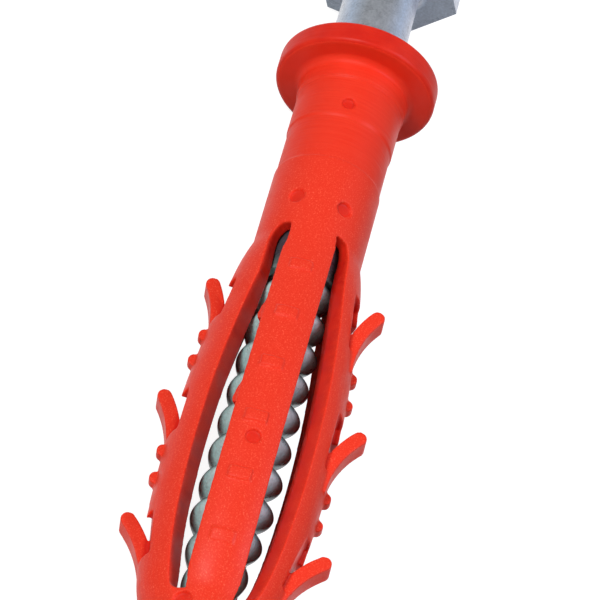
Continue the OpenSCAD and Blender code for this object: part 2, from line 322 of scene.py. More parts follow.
@dataclass(frozen=True)
class Bow:
    """The way a leg bows outwards: slopes in degrees at stations along the axis, joined by arcs."""

    lead: tuple[tuple[float, float], ...]
    fall: tuple[tuple[float, float], ...]

    @classmethod
    def over_slots(
        cls, lead: tuple[tuple[float, float], ...], fall: tuple[tuple[float, float], ...]
    ) -> "Bow":
        """Make a bow whose stations are counted from the slots' ends.

        Args:
            lead: Distances past the slots' start, each with its slope.
            fall: Distances past the slots' end, each with its slope.

        Returns:
            The bow.
        """
        return cls(
            tuple((SLOT_FROM + past, slope) for past, slope in lead),
            tuple((SLOT_TO + past, slope) for past, slope in fall),
        )

    @staticmethod
    def rise(stations: list[tuple[float, float]]) -> float:
        """Return the rise over a list of stations."""
        pairs = zip(stations, stations[1:])
        return sum((b[0] - a[0]) * math.tan(math.radians((a[1] + b[1]) / 2)) for a, b in pairs)

    @property
    def stations(self) -> list[tuple[float, float]]:
        """Return every station, with the straight run that brings the leg back to the sleeve."""
        last, crest = self.lead[-1], self.fall[0]
        gap = crest[0] - last[0]
        mean = math.tan(math.radians((last[1] + crest[1]) / 2))
        missing = -(self.rise(list(self.lead)) + self.rise(list(self.fall)) + gap * mean)
        run = missing / (math.tan(math.radians(last[1])) - mean)
        return [*self.lead, (last[0] + run, last[1]), *self.fall]

    def slope(self, z: float) -> float:
        """Return the slope at a station: its sine changes evenly along an arc.

        Args:
            z: The station along the axis.

        Returns:
            The slope in degrees.
        """
        stations = self.stations
        for a, b in zip(stations, stations[1:]):
            if z <= b[0]:
                share = (z - a[0]) / (b[0] - a[0])
                sine = math.sin(math.radians(a[1])) * (1 - share) + math.sin(math.radians(b[1])) * share
                return math.degrees(math.asin(sine))
        return 0.0

    def height(self, z: float) -> float:
        """Return how far the leg stands out from its straight place at a station."""
        before = [station for station in self.stations if station[0] < z]
        return self.rise([*before, (z, self.slope(z))]) if before else 0.0

    def on_leg(self, sleeve_r: float, z: float) -> Matrix:
        """Return a place on the leg's outer surface, with x outwards and z along the leg.

        Args:
            sleeve_r: The radius of the sleeve that the leg is cut from.
            z: The station along the axis.

        Returns:
            The place as a matrix.
        """
        return Matrix.Translation((sleeve_r + self.height(z), 0, z)) @ turned(self.slope(z), "Y")


@dataclass(frozen=True)
class CutFace:
    """A long cut face of a leg's section.

    Its points run inwards, each with its angle from the leg's middle and its radius.
    """

    points: tuple[tuple[float, float], ...]


@dataclass
class Leg:
    """A leg: a part of the sleeve's ring between two cut faces, swept along its bow."""

    bow: Bow
    left: CutFace
    right: CutFace
    sleeve_r: float = SLEEVE_R
    arc_steps: int = 16
    run_steps: int = 110

    def outline(self) -> list[Vector]:
        """Return the outline of the leg's section."""
        left = list(self.left.points)
        right = [(-angle, radius) for angle, radius in self.right.points]
        points = []
        for (first, first_r), (last, last_r), onwards in (
            (right[0], left[0], left[1:-1]),
            (left[-1], right[-1], right[-2:0:-1]),
        ):
            for i in range(self.arc_steps + 1):
                share = i / self.arc_steps
                points.append((first + (last - first) * share, first_r + (last_r - first_r) * share))
            points += onwards
        return [r * Vector((math.cos(math.radians(a)), math.sin(math.radians(a)), 0)) for a, r in points]

    def build(self) -> list[BMesh]:
        """Return the leg, pointing along x."""
        start, end = self.bow.stations[0][0], self.bow.stations[-1][0]
        places = []
        for i in range(self.run_steps + 1):
            z = start + (end - start) * i / self.run_steps
            places.append(Matrix.Translation((self.bow.height(z), 0, z)) @ turned(self.bow.slope(z), "Y"))
        return [sweep(self.outline(), places)]

    def place(self, z: float) -> Matrix:
        """Return a place on the leg's outer surface at a station."""
        return self.bow.on_leg(self.sleeve_r, z)


@dataclass
class Finger:
    """A barb finger that grows out of its leg on a curve, with the pocket that it folds into."""

    thickness: float = 1.3
    width: float = 2.2
    offset: float = 0.75
    curve_r: float = 8.6
    root_l: float = 2.0
    root_depth: float = 0.1
    end_angle: float = 40.0
    pocket_depth: float = 0.75
    pocket_l: float = 5.8
    pocket_edge: float = -0.55
    gap_l: float = 4.3
    steps: int = 16

    def build(self, root: Matrix) -> list[BMesh]:
        """Return the finger and the rod that rounds its end.

        Args:
            root: The place of the pocket's root wall on the leg.

        Returns:
            The finger's two solids.
        """
        side, half = self.thickness / 2, self.width / 2
        outline = [Vector((x, y, 0)) for x, y in ((-side, -half), (side, -half), (side, half), (-side, half))]
        centre = Vector((self.curve_r - side - self.root_depth, self.offset, self.root_l))
        places = []
        for i in range(self.steps + 1):
            angle = self.end_angle * i / self.steps
            turn = math.radians(angle)
            point = centre - self.curve_r * Vector((math.cos(turn), 0, math.sin(turn)))
            places.append(root @ Matrix.Translation(point) @ turned(180 - angle, "Y"))
        return [sweep(outline, places), rod(side, self.width, places[-1] @ turned(90, "X"))]

    def pocket(self, root: Matrix) -> list[BMesh]:
        """Return the cutters for the finger's pocket.

        Args:
            root: The place of the pocket's root wall on the leg.

        Returns:
            The lane that the finger lies in, and the shorter gap across the rest of the leg.
        """
        low = Vector((-self.pocket_depth, self.pocket_edge, -self.pocket_l))
        lane = block(low, Vector((REACH, REACH, 0.0)), root)
        low = Vector((-self.pocket_depth, -REACH, -self.gap_l))
        gap = block(low, Vector((REACH, self.pocket_edge + 0.01, 0.01)), root)
        return [lane, gap]


@dataclass
class SideLeg:
    """A side leg with its barb fingers and the nubs between them."""

    lead: tuple[tuple[float, float], ...] = ((0.0, 0.0), (2.2, 17.0), (4.6, 8.0))
    fall: tuple[tuple[float, float], ...] = (
        *((-8.0, -4.0), (-3.3, -10.0), (-1.7, -24.0)),
        *((-0.8, -24.0), (1.6, 0.0)),
    )
    left: CutFace = CutFace(((50.5, SLEEVE_R), (50.6, 3.45), (39.1, 2.45)))
    right: CutFace = CutFace(((59.0, SLEEVE_R), (58.1, 2.84)))
    finger: Finger = field(default_factory=lambda: Finger(curve_r=9.2, end_angle=41.2))
    finger_count: int = 3
    finger_first: float = 29.4
    finger_pitch: float = 12.5
    nub_r: float = 0.58
    nub_h: float = 0.55
    nub_w: float = 1.1
    nub_offset: float = -0.5
    nub_from: float = 1.6
    nub_pitch: float = 2.8

    @property
    def leg(self) -> Leg:
        """Return the plain leg."""
        return Leg(Bow.over_slots(self.lead, self.fall), self.left, self.right)

    @property
    def roots(self) -> list[Matrix]:
        """Return the places of the fingers' roots."""
        return [self.leg.place(self.finger_first + i * self.finger_pitch) for i in range(self.finger_count)]

    def pockets(self) -> list[BMesh]:
        """Return the cutters for every pocket."""
        return [cutter for root in self.roots for cutter in self.finger.pocket(root)]

    def nub(self, z: float) -> BMesh:
        """Return the nub at a station."""
        sink = Matrix.Translation((self.nub_h - self.nub_r, self.nub_offset, 0))
        return rod(self.nub_r, self.nub_w, self.leg.place(z) @ sink @ turned(90, "X"))

    def details(self) -> list[BMesh]:
        """Return the fingers and nubs, on the leg that points along x."""
        shapes = [shape for root in self.roots for shape in self.finger.build(root)]
        for i in range(self.finger_count - 1):
            first = self.finger_first + i * self.finger_pitch + self.nub_from
            shapes += [self.nub(first), self.nub(first + self.nub_pitch)]
        return shapes


@dataclass
class FrontLeg:
    """A front or back leg with its shallow pads, its web stubs and its round mark."""

    lead: tuple[tuple[float, float], ...] = ((0.0, 0.0), (3.5, 8.0))
    fall: tuple[tuple[float, float], ...] = ((-8.1, -5.5), (-2.6, -17.0), (0.0, 0.0))
    left: CutFace = CutFace(((26.0, SLEEVE_R), (22.4, 3.1)))
    right: CutFace = CutFace(((29.4, SLEEVE_R), (26.0, 3.1)))
    pad_l: float = 1.05
    pad_angle: float = 1.0
    pad_half_angle: float = 11.0
    pad_h: float = 0.2
    pad_sink: float = 0.4
    pad_first: float = 24.2
    pad_pitch: float = 5.74
    pad_count: int = 6
    pad_steps: int = 8
    stub: tuple[tuple[float, float], ...] = (
        *((-0.4, -1.1), (0.0, -1.0), (0.35, -0.2)),
        *((0.5, 0.8), (0.4, 1.2), (-0.4, 1.3)),
    )
    stub_low: float = 3.9
    stub_high: float = 4.85
    stub_stations: tuple[float, ...] = (29.5, 38.9)
    mark_at: float = 43.4
    mark_angle: float = -1.7
    mark_r: float = 0.7
    mark_depth: float = 0.3

    @property
    def leg(self) -> Leg:
        """Return the plain leg."""
        return Leg(Bow.over_slots(self.lead, self.fall), self.left, self.right)

    def on_axis(self, z: float, angle: float) -> Matrix:
        """Return a place on the axis of the leg's round at a station, turned about that axis."""
        return self.leg.place(z) @ Matrix.Translation((-self.leg.sleeve_r, 0, 0)) @ turned(angle)

    def pad(self, z: float) -> BMesh:
        """Return a pad, which follows the round of the leg.

        Args:
            z: The station of the pad's middle.

        Returns:
            The pad.
        """
        outline = []
        half_steps = self.pad_steps / 2
        for radius, turn in ((self.leg.sleeve_r + self.pad_h, 1), (self.leg.sleeve_r - self.pad_sink, -1)):
            shares = [i / half_steps - 1 for i in range(self.pad_steps + 1)]
            angles = [math.radians(turn * self.pad_half_angle * share) for share in shares]
            outline += [radius * Vector((math.cos(a), math.sin(a), 0)) for a in angles]
        middle = self.on_axis(z, self.pad_angle)
        half = Vector((0, 0, self.pad_l / 2))
        return sweep(outline, [middle @ Matrix.Translation(-half), middle @ Matrix.Translation(half)])

    def details(self) -> list[BMesh]:
        """Return the pads, and the web stubs on the left edge, on the leg that points along x."""
        shapes = [self.pad(self.pad_first + i * self.pad_pitch) for i in range(self.pad_count)]
        edge_angle = self.left.points[0][0]
        for z in self.stub_stations:
            shapes.append(plate(self.stub, self.on_axis(z, edge_angle), self.stub_low, self.stub_high))
        return shapes

    def mark(self) -> BMesh:
        """Return the cutter for the round mark."""
        middle = Matrix.Translation((self.leg.sleeve_r + REACH / 2 - self.mark_depth, 0, 0))
        return rod(self.mark_r, REACH, self.on_axis(self.mark_at, self.mark_angle) @ middle @ turned(90, "Y"))


@dataclass(frozen=True)
class SlotEnd:
    """The end of a slot beside the front leg, which widens away from that leg.

    The corners are given by their angles from the front leg's middle and their stations.
    """

    side: int
    middle: float
    corners: tuple[tuple[float, float], ...]
    inside: float = 1.0

    def build(self, radius: float) -> list[BMesh]:
        """Build the cutters.

        Args:
            radius: The sleeve's radius.

        Returns:
            The cutter beside the front leg, and the one beside the back leg.
        """
        outline = [(self.side * radius * math.sin(math.radians(a - self.middle)), z) for a, z in self.corners]
        places = [turned(turn + self.side * self.middle) for turn in (90, 270)]
        return [plate(outline, place, self.inside, radius + REACH) for place in places]


SLOT_ENDS = (
    SlotEnd(
        1,
        32,
        (
            *((24.5, 19.3), (30.0, 19.3), (34.5, 19.35), (38.0, 19.55), (40.3, 19.85)),
            *((42.5, 20.2), (43.6, 20.6), (43.9, 21.3), (42.6, 22.2), (41.3, 23.9), (41.6, 24.9)),
            *((30.0, 25.2), (24.5, 24.0), (24.5, 22.8), (23.2, 21.5), (22.8, 20.3)),
        ),
    ),
    SlotEnd(
        1,
        32,
        (
            *((22.5, 57.8), (31.4, 57.74), (36.0, 57.65), (38.5, 57.5), (39.8, 57.3), (40.6, 56.9)),
            *((42.3, 55.9), (45.8, 54.1), (35.0, 53.8), (23.4, 54.5), (23.6, 56.6)),
        ),
    ),
    SlotEnd(
        -1,
        36,
        (
            *((26.5, 19.4), (32.0, 19.5), (36.0, 19.55), (39.3, 19.62), (42.0, 19.75), (43.8, 20.0)),
            *((45.3, 20.35), (46.6, 20.9), (47.0, 21.4), (46.7, 22.4), (47.3, 23.5), (49.7, 25.7)),
            *((52.2, 28.5), (36.0, 28.5), (28.3, 24.0), (28.8, 22.2), (29.0, 21.0), (27.9, 20.0)),
        ),
    ),
    SlotEnd(
        -1,
        36,
        (
            *((26.5, 57.8), (36.0, 57.7), (40.0, 57.6), (42.5, 57.4), (44.0, 57.1), (44.6, 56.7)),
            *((46.0, 55.8), (49.5, 54.1), (39.0, 53.8), (27.4, 54.5), (27.6, 56.6)),
        ),
    ),
)


@dataclass
class Sleeve:
    """The collar, the neck and its bands, the plain sleeve and the closed tip."""

    collar_r: float = 7.63
    collar_t: float = 2.4
    rim_r: float = 0.4
    edge_r: float = 0.45
    fillet_r: float = 0.7
    neck_r: float = 5.15
    neck_end: float = 2.0
    upper_band_r: float = 5.0
    upper_band_end: float = 6.55
    lower_band_r: float = 4.88
    lower_band_end: float = 11.5
    step_l: float = 0.06
    sleeve_r: float = SLEEVE_R
    bore_r: float = 3.75
    mouth_r: float = 4.75
    body_l: float = 67.6
    taper_l: float = 6.0
    tip_end_r: float = 4.5
    slot_from: float = SLOT_FROM
    slot_to: float = SLOT_TO
    slot_cover: float = 1.1
    mark_depth: float = 0.3

    def build(self) -> list[BMesh]:
        """Return the collar with the sleeve, and the tip, both turned round the bore."""
        end = self.slot_from + self.slot_cover
        foot = Vector((self.neck_r + self.fillet_r, 0, self.fillet_r))
        rim = Vector((self.collar_r - self.rim_r, 0, -self.collar_t + self.rim_r))
        edge = Vector((self.collar_r - self.edge_r, 0, -self.edge_r))
        steps = [
            (self.neck_r, self.neck_end),
            (self.upper_band_r, self.neck_end + self.step_l),
            (self.upper_band_r, self.upper_band_end),
            (self.lower_band_r, self.upper_band_end + self.step_l),
            (self.lower_band_r, self.lower_band_end),
            (self.sleeve_r, self.lower_band_end + self.step_l),
            (self.sleeve_r, end),
            (self.bore_r, end),
        ]
        collar = [
            Vector((self.bore_r, 0, -self.collar_t + self.mouth_r - self.bore_r)),
            Vector((self.mouth_r, 0, -self.collar_t)),
            *arc(rim, self.rim_r, -90, 0, 12),
            *arc(edge, self.edge_r, 0, 90, 12),
            *arc(foot, self.fillet_r, 270, 180, 10),
            *(Vector((r, 0, z)) for r, z in steps),
        ]
        ring_from = self.slot_to - self.slot_cover
        taper_from = self.body_l - self.taper_l
        corners = (
            (self.bore_r, ring_from),
            (self.sleeve_r, ring_from),
            (self.sleeve_r, taper_from),
            (self.tip_end_r, self.body_l),
            (self.bore_r, self.body_l),
        )
        tip = [Vector((r, 0, z)) for r, z in corners]
        return [lathe(collar, closed=True), lathe(tip, closed=True)]

    def slot_ends(self) -> list[BMesh]:
        """Return the cutters that shape the slots' ends."""
        return [cutter for end in SLOT_ENDS for cutter in end.build(self.sleeve_r)]

    def bore(self) -> BMesh:
        """Return the cutter for the bore."""
        middle = Matrix.Translation((0, 0, self.body_l / 2))
        return rod(self.bore_r, self.body_l + 2 * REACH, middle, sides=144)

    def marks(self) -> list[BMesh]:
        """Return the cutters for the round marks on the neck and above and below the slots."""
        shapes = []
        marks = (
            (0.6, 0.0, 5.1, self.upper_band_r),
            (0.75, 26.6, 16.3, self.sleeve_r),
            (0.75, -27.4, 16.5, self.sleeve_r),
            (0.85, 22.0, 58.95, self.sleeve_r),
        )
        for radius, angle, z, surface in marks:
            out = Matrix.Translation((surface - self.mark_depth + REACH / 2, 0, z))
            shapes.append(rod(radius, REACH, turned(90 + angle) @ out @ turned(90, "Y")))
        return shapes


@dataclass(frozen=True)
class Moulded:
    """How finely the moulding is made, how much its edges are rounded, and where shade is painted on it.

    Inner faces take painted shade from one depth under the outer surface on, and fully from another, and the
    collar's rim takes a set share of it. The slots run at an angle from the middle of the side legs, which
    parts them from the other legs.
    """

    grain: float = 0.1
    passes: int = 3
    most_triangles: int = 190000
    sharp_angle: float = 50.0
    # The depths under the outer surface where painted shade starts and where it is full
    inner: tuple[float, float] = (0.1, 0.35)
    # The share of painted shade on the collar's rim
    rim: float = 0.7
    slot_middle: float = 58.0


@dataclass
class NylonPlug:
    """The whole one-piece moulding."""

    sleeve: Sleeve = field(default_factory=Sleeve)
    right_leg: SideLeg = field(default_factory=SideLeg)
    left_leg: SideLeg = field(default_factory=lambda: SideLeg(finger=Finger(curve_r=10.5, end_angle=36.3)))
    front_leg: FrontLeg = field(default_factory=FrontLeg)
    moulded: Moulded = field(default_factory=Moulded)

    def build(self) -> bpy.types.Object:
        """Build the moulding and return its object, laid down in place."""
        solids = self.sleeve.build()
        cutters = [self.sleeve.bore(), *self.sleeve.slot_ends(), *self.sleeve.marks()]
        details = []
        for angle, side_leg in ((0, self.right_leg), (180, self.left_leg)):
            solids += placed(side_leg.leg.build(), turned(angle))
            cutters += placed(side_leg.pockets(), turned(angle))
            details += placed(side_leg.details(), turned(angle))
        for angle in (90, 270):
            solids += placed(self.front_leg.leg.build(), turned(angle))
            cutters += placed([self.front_leg.mark()], turned(angle))
            details += placed(self.front_leg.details(), turned(angle))
        piece = joined("nylon_moulding", solids)
        carve(piece, cutters, Cut.AWAY)
        carve(piece, details, Cut.JOIN)
        soften(piece, self.moulded.grain, self.moulded.passes, self.moulded.most_triangles)
        self.painted_shade_share(piece)
        piece.data.transform(lying())
        piece.data.shade_smooth()
        piece.data.set_sharp_from_angle(angle=math.radians(self.moulded.sharp_angle))
        return piece

    def depth(self, point: Vector) -> float:
        """Measure how deep a point of the upright moulding lies under its outer surface.

        Args:
            point: The point.

        Returns:
            The depth, which is negative on what stands out.
        """
        sleeve = self.sleeve
        surface, x, y = sleeve.sleeve_r, abs(point.x), abs(point.y)
        if point.z > sleeve.slot_to:
            taper = max(0.0, point.z - sleeve.body_l + sleeve.taper_l) / sleeve.taper_l
            surface -= (sleeve.sleeve_r - sleeve.tip_end_r) * taper
        elif point.z > sleeve.slot_from and y < x * math.tan(math.radians(self.moulded.slot_middle)):
            x -= self.right_leg.leg.bow.height(point.z)
        elif point.z > sleeve.slot_from:
            y -= self.front_leg.leg.bow.height(point.z)
        elif point.z < sleeve.lower_band_end:
            surface = sleeve.upper_band_r if point.z < sleeve.upper_band_end else sleeve.lower_band_r
        return surface - math.hypot(x, y)

    def painted_shade_share(self, piece: bpy.types.Object) -> None:
        """Note on each vertex how much painted shade its colour takes: full on cut faces and in recesses,
        growing with their depth, and a set share on the collar's rim.

        Args:
            piece: The upright moulding.
        """
        inner, rim = self.moulded.inner, self.moulded.rim
        rim_from = self.sleeve.collar_r - self.sleeve.edge_r / 2
        marks = piece.data.attributes.new("painted_shade_share", "FLOAT", "POINT").data
        # Painted shade: full on faces deep under the outer surface, a set share on the collar's rim
        for vert, mark in zip(piece.data.vertices, marks):
            on_rim = vert.co.z < 0 and math.hypot(vert.co.x, vert.co.y) > rim_from
            share = (self.depth(vert.co) - inner[0]) / (inner[1] - inner[0])
            mark.value = rim if on_rim else min(1.0, max(0.0, share))

    def dress(self, piece: bpy.types.Object, finish: "NylonFinish") -> None:
        """Give the moulding its finish and its place in the frame.

        Args:
            piece: The moulding's object.
            finish: The nylon finish.
        """
        piece.data.materials.clear()
        piece.data.materials.append(finish.material())
        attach(piece, "plug")
        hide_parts("nylon_plug")


# The screw


@dataclass
class Screw:
    """The hexagon head screw, with a coarse rounded thread."""

    head_at: float = -14.1
    head_h: float = 5.5
    head_af: float = 13.0
    head_turn: float = -13.0
    fillet_r: float = 1.0
    shank_r: float = 3.55
    thread_from: float = 23.1
    end: float = 56.9
    crest_r: float = 3.5
    core_r: float = 2.15
    ridge_power: float = 1.8
    pitch: float = 3.3
    thread_start: float = 98.0
    fade_l: float = 8.5
    fade_to: float = 0.15
    point_l: float = 1.5
    point_share: float = 0.7
    turn_steps: int = 72
    ridge_steps: int = 16
    sink: float = 0.5
    step: float = 0.15
    spare: float = 1.0
    chamfer_rise: float = 1.3
    sharp_angle: float = 32.0

    def head(self) -> bpy.types.Object:
        """Return the head: a hexagon with its corners chamfered by a cone."""
        corner_r = self.head_af / 2 / math.cos(math.radians(30))
        chamfer = corner_r - self.head_af / 2
        low, high = self.head_at - self.head_h, self.head_at
        middle = Matrix.Translation((0, 0, (low + high) / 2))
        prism = rod(corner_r, self.head_h, middle @ turned(self.head_turn - 90), sides=6)
        piece = joined("zinc_screw", [prism])
        cone = [
            Vector((0, 0, high)),
            Vector((corner_r + self.spare, 0, high)),
            Vector((corner_r + self.spare, 0, low + self.chamfer_rise * chamfer)),
            Vector((self.head_af / 2 - chamfer, 0, low)),
            Vector((0, 0, low)),
        ]
        carve(piece, [lathe(cone, closed=False)], Cut.COMMON)
        return piece

    def shank(self) -> BMesh:
        """Return the plain shank with the fillet under the head."""
        foot = Vector((self.shank_r + self.fillet_r, 0, self.head_at + self.fillet_r))
        profile = [
            Vector((0, 0, self.head_at - self.sink)),
            Vector((self.shank_r + self.fillet_r, 0, self.head_at - self.sink)),
            *arc(foot, self.fillet_r, 270, 180, 10),
            Vector((self.shank_r, 0, self.thread_from - self.step)),
            Vector((self.shank_r - self.step, 0, self.thread_from)),
            Vector((0, 0, self.thread_from)),
        ]
        return lathe(profile, closed=False)

    def thread(self) -> BMesh:
        """Return the threaded end: one ridge wound round the axis, cut off flat and tapered."""
        turns = math.ceil((self.end - self.thread_from) / self.pitch) + 2
        start = self.thread_from - self.pitch * self.thread_start / 360
        shape = bmesh.new()
        verts = []
        for i in range(self.ridge_steps + 1):
            share = 2 * i / self.ridge_steps - 1
            radius = self.core_r + (self.crest_r - self.core_r) * (1 - abs(share) ** self.ridge_power)
            verts.append(shape.verts.new((radius, 0, start - self.pitch * (3 - share) / 2)))
        edges = [shape.edges.new(pair) for pair in zip(verts, verts[1:])]
        steps = turns * self.turn_steps
        rise = Vector((0, 0, self.pitch / self.turn_steps))
        bmesh.ops.spin(
            shape,
            geom=verts + edges,
            cent=(0, 0, 0),
            axis=(0, 0, 1),
            dvec=rise,
            angle=math.tau * turns,
            steps=steps,
        )
        bmesh.ops.remove_doubles(shape, verts=shape.verts, dist=MERGE)
        for level, way in ((self.thread_from - self.sink, -1), (self.end, 1)):
            bmesh.ops.bisect_plane(
                shape,
                geom=[*shape.verts, *shape.edges, *shape.faces],
                dist=MERGE / 10,
                plane_co=(0, 0, level),
                plane_no=(0, 0, way),
                clear_outer=True,
            )
            ends = [edge for edge in shape.edges if edge.is_boundary]
            rim = [edge for edge in ends if all(abs(vert.co.z - level) < MERGE for vert in edge.verts)]
            bmesh.ops.contextual_create(shape, geom=rim)
        for vert in shape.verts:
            radius = math.hypot(vert.co.x, vert.co.y)
            fade = max(0.0, (vert.co.z - self.end + self.fade_l) / self.fade_l)
            point = max(0.0, (vert.co.z - self.end + self.point_l) / self.point_l)
            slim = min(radius, self.core_r) + max(0.0, radius - self.core_r) * (1 - (1 - self.fade_to) * fade)
            slim *= 1 - (1 - self.point_share) * point * point
            vert.co.x *= slim / max(radius, MERGE)
            vert.co.y *= slim / max(radius, MERGE)
        bmesh.ops.recalc_face_normals(shape, faces=shape.faces)
        return shape

    def build(self) -> bpy.types.Object:
        """Build the screw and return its object, laid down in place."""
        piece = self.head()
        carve(piece, [self.shank(), self.thread()], Cut.JOIN)
        piece.data.transform(lying())
        piece.data.shade_smooth()
        piece.data.set_sharp_from_angle(angle=math.radians(self.sharp_angle))
        return piece

    def dress(self, piece: bpy.types.Object, finish: "ZincFinish") -> None:
        """Give the screw its finish and its place in the frame.

        Args:
            piece: The screw's object.
            finish: The zinc finish.
        """
        piece.data.materials.clear()
        piece.data.materials.append(finish.material())
        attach(piece, "screw")
        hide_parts("hex_screw")


# Finishes


def new_material(name: str) -> tuple[bpy.types.Material, bpy.types.Node]:
    """Make a material.

    Args:
        name: The material's name.

    Returns:
        The material and its shader node.
    """
    material = bpy.data.materials.new(name)
    material.use_nodes = True
    return material, material.node_tree.nodes["Principled BSDF"]


def speckle_group() -> bpy.types.NodeTree:
    """Build the shared effect of a fine grain over slow clouds, and return its group."""
    group = bpy.data.node_groups.new("speckle", "ShaderNodeTree")
    sockets = group.interface
    sockets.new_socket("Vector", in_out="INPUT", socket_type=Socket.VECTOR.value)
    sockets.new_socket("Grain scale", in_out="INPUT", socket_type=Socket.NUMBER.value)
    sockets.new_socket("Cloud scale", in_out="INPUT", socket_type=Socket.NUMBER.value)
    sockets.new_socket("Grain", in_out="OUTPUT", socket_type=Socket.NUMBER.value)
    sockets.new_socket("Cloud", in_out="OUTPUT", socket_type=Socket.NUMBER.value)
    nodes, links = group.nodes, group.links
    inlet, outlet = nodes.new("NodeGroupInput"), nodes.new("NodeGroupOutput")
    for name, detail in (("Grain", 3.0), ("Cloud", 2.0)):
        noise = nodes.new("ShaderNodeTexNoise")
        noise.inputs["Detail"].default_value = detail
        links.new(inlet.outputs["Vector"], noise.inputs["Vector"])
        links.new(inlet.outputs[f"{name} scale"], noise.inputs["Scale"])
        links.new(noise.outputs["Fac"], outlet.inputs[name])
    return group


def speckle(material: bpy.types.Material, grain: float, cloud: float) -> bpy.types.Node:
    """Place the shared grain effect in a material.

    Args:
        material: The material.
        grain: The scale of the grain.
        cloud: The scale of the clouds.

    Returns:
        The group node.
    """
    tree = material.node_tree
    node = tree.nodes.new("ShaderNodeGroup")
    node.node_tree = bpy.data.node_groups.get("speckle") or speckle_group()
    node.inputs["Grain scale"].default_value = grain
    node.inputs["Cloud scale"].default_value = cloud
    where = tree.nodes.new("ShaderNodeTexCoord")
    tree.links.new(where.outputs["Object"], node.inputs["Vector"])
    return node


def ramp(
    material: bpy.types.Material, source: bpy.types.NodeSocket, stops: list[tuple[float, tuple]]
) -> bpy.types.Node:
    """Place a colour ramp in a material.

    Args:
        material: The material.
        source: The value that drives the ramp.
        stops: The ramp's places and colours.

    Returns:
        The ramp node.
    """
    tree = material.node_tree
    node = tree.nodes.new("ShaderNodeValToRGB")
    elements = node.color_ramp.elements
    for element, (at, colour) in zip(elements, (stops[0], stops[-1])):
        element.position = at
        element.color = (*colour, 1)
    for at, colour in stops[1:-1]:
        elements.new(at).color = (*colour, 1)
    tree.links.new(source, node.inputs["Fac"])
    return node


def spread(
    material: bpy.types.Material,
    source: bpy.types.NodeSocket,
    limits: tuple[float, float],
    span: tuple[float, float] = (0.3, 0.7),
) -> bpy.types.NodeSocket:
    """Spread a span of a value over other limits.

    Args:
        material: The material.
        source: The value.
        limits: What the ends of the span become.
        span: The part of the value's range that is spread.

    Returns:
        The spread value.
    """
    tree = material.node_tree
    node = tree.nodes.new("ShaderNodeMapRange")
    node.inputs["From Min"].default_value = span[0]
    node.inputs["From Max"].default_value = span[1]
    node.inputs["To Min"].default_value = limits[0]
    node.inputs["To Max"].default_value = limits[1]
    tree.links.new(source, node.inputs["Value"])
    return node.outputs["Result"]


def blended(
    material: bpy.types.Material,
    way: str,
    share: bpy.types.NodeSocket | None,
    first: bpy.types.NodeSocket,
    second: bpy.types.NodeSocket,
) -> bpy.types.NodeSocket:
    """Blend two colours.

    Args:
        material: The material.
        way: How they are blended.
        share: How much of the second is used, or None for all of it.
        first: The first colour.
        second: The second colour.

    Returns:
        The blended colour.
    """
    tree = material.node_tree
    node = tree.nodes.new("ShaderNodeMixRGB")
    node.blend_type = way
    node.inputs["Fac"].default_value = 1.0
    if share is not None:
        tree.links.new(share, node.inputs["Fac"])
    tree.links.new(first, node.inputs["Color1"])
    tree.links.new(second, node.inputs["Color2"])
    return node.outputs["Color"]


def bumped(
    material: bpy.types.Material,
    shader: bpy.types.Node,
    source: bpy.types.NodeSocket,
    strength: float,
    distance: float,
) -> None:
    """Let a value raise the surface of a material.

    Args:
        material: The material.
        shader: The material's shader.
        source: The value that is the height.
        strength: How strong the bump is.
        distance: How high the bump is in metres.
    """
    tree = material.node_tree
    bump = tree.nodes.new("ShaderNodeBump")
    bump.inputs["Strength"].default_value = strength
    bump.inputs["Distance"].default_value = distance
    tree.links.new(source, bump.inputs["Height"])
    tree.links.new(bump.outputs["Normal"], shader.inputs["Normal"])


